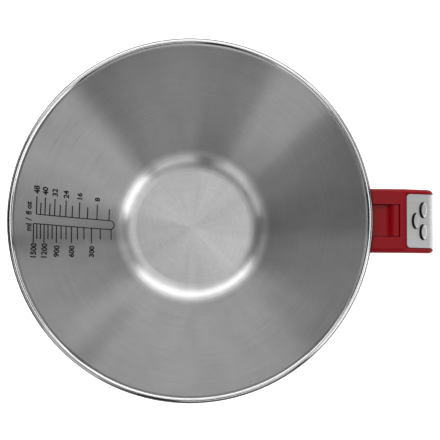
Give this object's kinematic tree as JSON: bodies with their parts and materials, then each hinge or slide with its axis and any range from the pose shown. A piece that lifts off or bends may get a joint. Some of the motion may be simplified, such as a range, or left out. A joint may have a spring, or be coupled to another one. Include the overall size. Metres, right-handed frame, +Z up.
{
  "type": "kitchen scale",
  "caption": "Digital kitchen scale: lift-out brushed steel measuring bowl on a round weighing base, with a hollow red handle carrying push-buttons, a display and a rim catch",
  "frame": {"origin": "on the bowl's axis, at table height, in the middle of the rubber foot ring's underside", "axes": "+Z up, +X from the bowl's axis towards the handle, +Y completes a right-handed frame"},
  "size_m": [0.2963, 0.2528, 0.1133],
  "materials": {
    "bowl_steel": "brushed, polished rim",
    "red_plastic": "satin dark red",
    "fascia_steel": "fine brushed",
    "button_steel": "satin plated",
    "black_plastic": "fine spark texture",
    "foot_rubber": "matt",
    "cell_aluminium": "anodised",
    "potting": "soft silicone",
    "screw_steel": "zinc plated",
    "board_green": "solder mask",
    "chip_black": "moulded epoxy",
    "socket_white": "nylon",
    "brass": "bright",
    "window": "clear hard-coated",
    "lcd": "reflective display",
    "pink_elastomer": "layered elastomer",
    "grey_rubber": "matt",
    "cell_can": "bright nickel",
    "spring_steel": "bright",
    "lead_black": "pvc",
    "lead_grey": "pvc",
    "lead_red": "pvc"
  },
  "bodies": {
    "base": {"base_tray": "black_plastic", "foot_ring": "foot_rubber", "load_cell": "cell_aluminium", "gauge_potting": "potting", "cell_base_screws": "screw_steel", "overload_stop_screw": "screw_steel"},
    "platform": {"platform": "red_plastic", "seat_ring": "grey_rubber", "cell_spacer": "screw_steel", "cell_platform_screws": "screw_steel", "main_board": "board_green", "board_chips": "chip_black", "board_connectors": "socket_white", "board_screws": "screw_steel", "buzzer": "brass", "handle_shell": "red_plastic", "handle_cover": "red_plastic", "handle_screws": "screw_steel", "spigot_screws": "screw_steel", "fascia_plate": "fascia_steel", "display_window": "window", "display_gasket": "grey_rubber", "lcd_glass": "lcd", "zebra_strips": "pink_elastomer", "display_board": "board_green", "display_board_chip": "chip_black", "display_board_screws": "screw_steel", "button_board": "board_green", "button_switches": "chip_black", "catch_pin": "screw_steel", "catch_spring": "spring_steel", "battery_holder": "black_plastic", "coin_cell": "cell_can", "battery_contacts": "brass", "display_harness": "lead_black", "load_cell_lead": "lead_grey", "battery_lead": "lead_red"},
    "bowl": {"bowl": "bowl_steel", "bowl_floor": "bowl_steel"},
    "catch": {"catch_lever": "red_plastic", "catch_pad": "grey_rubber"},
    "button_power_tare": {"button_power_tare": "button_steel"},
    "button_unit": {"button_unit": "button_steel"},
    "button_timer": {"button_timer": "button_steel"},
    "battery_cap": {"battery_cap": "black_plastic", "battery_seal": "grey_rubber"}
  },
  "joints": [
    {"name": "weigh_travel", "type": "slide", "parent": "base", "child": "platform", "axis": [0, 0, 1], "range_m": [-0.0006, 0], "stiffness_N_per_m": 60000, "springref_m": 0.0002, "deforming": ["load_cell"]},
    {"name": "bowl_lift", "type": "slide", "parent": "platform", "child": "bowl", "axis": [0, 0, 1], "range_m": [0, 0.1]},
    {"name": "catch_press", "type": "hinge", "parent": "platform", "child": "catch", "pos_m": [0.1412, 0, 0.1056], "axis": [0, -1, 0], "range_deg": [0, 8], "stiffness_Nm_per_rad": 0.15, "springref_deg": -11.46},
    {"name": "battery_cap_turn", "type": "hinge", "parent": "platform", "child": "battery_cap", "pos_m": [0.0984, 0, 0.009], "axis": [0, 0, 1], "range_deg": [0, 60]},
    {"name": "button_power_tare_press", "type": "slide", "parent": "platform", "child": "button_power_tare", "axis": [-0.2588, 0, -0.9659], "range_m": [0, 0.0008], "stiffness_N_per_m": 2500, "springref_m": -0.0002},
    {"name": "button_unit_press", "type": "slide", "parent": "platform", "child": "button_unit", "axis": [-0.2588, 0, -0.9659], "range_m": [0, 0.0008], "stiffness_N_per_m": 2500, "springref_m": -0.0002},
    {"name": "button_timer_press", "type": "slide", "parent": "platform", "child": "button_timer", "axis": [-0.2588, 0, -0.9659], "range_m": [0, 0.0008], "stiffness_N_per_m": 2500, "springref_m": -0.0002}
  ]
}
